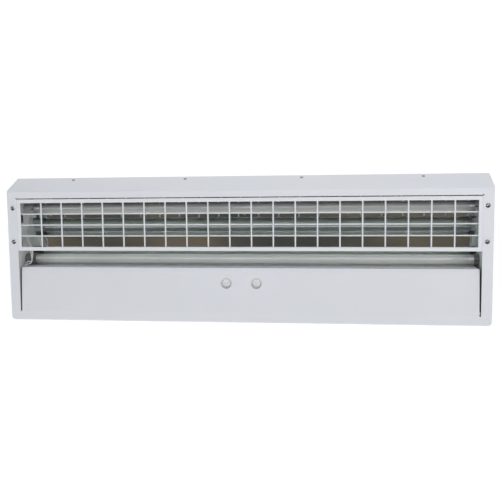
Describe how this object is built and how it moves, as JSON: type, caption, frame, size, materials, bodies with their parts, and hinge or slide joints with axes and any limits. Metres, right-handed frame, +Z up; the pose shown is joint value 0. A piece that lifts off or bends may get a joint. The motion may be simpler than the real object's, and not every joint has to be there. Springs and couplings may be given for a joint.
{
  "type": "wall air treatment grille unit",
  "caption": "Long wall-hung air treatment unit: folded white steel casing, wire mesh air grille, polished reflectors, twist-lock tube lamps and twist-lock starters.",
  "frame": {"origin": "centre of the four wall-fixing holes, on the wall face of the back plate", "axes": "+X along the unit to the viewer's right, +Z up, the front faces -Y and the wall is at Y = 0"},
  "size_m": [1.294, 0.1434, 0.392],
  "materials": {
    "white_paint": "satin powder coat, fine orange peel",
    "guard_paint": "smooth white powder coat",
    "inner_paint": "satin white paint",
    "galvanised": "galvanised sheet",
    "zinc_fixings": "bright zinc plate",
    "steel_screws": "bright steel",
    "dark_screws": "blackened steel",
    "mirror_sheet": "bright anodised aluminium sheet",
    "aluminium_rivets": "plain",
    "lamp_glass": "clear glass tube lined with a white powder, so it looks opaque",
    "lamp_cap": "spun aluminium cap",
    "electrode": "nickel wire on a glass foot",
    "holder_plastic": "moulded dark grey plastic",
    "starter_can": "white polycarbonate",
    "starter_base": "moulded white plastic",
    "choke_case": "white enamel over laminated iron",
    "terminal_nylon": "natural nylon",
    "brass_parts": "plain brass",
    "wire_sleeve": "white insulation",
    "black_rubber": "soft rubber"
  },
  "bodies": {
    "unit": {"casing": "white_paint", "back_plate": "galvanised", "casing_rail": "galvanised", "casing_screws": "dark_screws", "rail_nuts": "zinc_fixings", "guard_frame": "guard_paint", "guard_upright_wires": "guard_paint", "guard_cross_wires": "guard_paint", "guard_screws": "steel_screws", "guard_clip_nuts": "zinc_fixings", "upper_reflector": "mirror_sheet", "centre_reflector": "mirror_sheet", "lower_reflector": "mirror_sheet", "lamp_shelf": "inner_paint", "reflector_rivets": "aluminium_rivets", "left_end_bracket": "inner_paint", "right_end_bracket": "inner_paint", "bracket_rivets": "aluminium_rivets", "upper_left_lampholder": "holder_plastic", "upper_right_lampholder": "holder_plastic", "lower_left_lampholder": "holder_plastic", "lower_right_lampholder": "holder_plastic", "lampholder_screws": "steel_screws", "gear_tray": "inner_paint", "gear_tray_rivets": "aluminium_rivets", "left_starter_collar": "starter_base", "right_starter_collar": "starter_base", "left_starter_holder": "starter_base", "right_starter_holder": "starter_base", "starter_holder_screws": "steel_screws", "left_choke": "choke_case", "right_choke": "choke_case", "choke_screws": "zinc_fixings", "terminal_block": "terminal_nylon", "terminal_screws": "brass_parts", "left_wiring": "wire_sleeve", "right_wiring": "wire_sleeve", "centre_wiring": "wire_sleeve", "cable_grommet": "black_rubber", "earth_stud": "brass_parts", "earth_nut": "brass_parts"},
    "left_starter_body": {"left_starter": "starter_can", "left_starter_pins": "brass_parts"},
    "right_starter_body": {"right_starter": "starter_can", "right_starter_pins": "brass_parts"},
    "upper_lamp": {"upper_lamp_glass": "lamp_glass", "upper_lamp_caps": "lamp_cap", "upper_lamp_electrodes": "electrode", "upper_lamp_rotors": "holder_plastic"},
    "lower_lamp": {"lower_lamp_glass": "lamp_glass", "lower_lamp_caps": "lamp_cap", "lower_lamp_electrodes": "electrode", "lower_lamp_rotors": "holder_plastic"}
  },
  "joints": [
    {"name": "left_starter_twist", "type": "hinge", "parent": "unit", "child": "left_starter_body", "pos_m": [-0.0405, -0.12, -0.089], "axis": [0, 1, 0], "range_deg": [0, 45]},
    {"name": "right_starter_twist", "type": "hinge", "parent": "unit", "child": "right_starter_body", "pos_m": [0.0405, -0.12, -0.089], "axis": [0, 1, 0], "range_deg": [0, 45]},
    {"name": "upper_lamp_twist", "type": "hinge", "parent": "unit", "child": "upper_lamp", "pos_m": [0, -0.08, 0.11], "axis": [1, 0, 0], "range_deg": [0, 90]},
    {"name": "lower_lamp_twist", "type": "hinge", "parent": "unit", "child": "lower_lamp", "pos_m": [0, -0.08, -0.03], "axis": [1, 0, 0], "range_deg": [0, 90]}
  ]
}
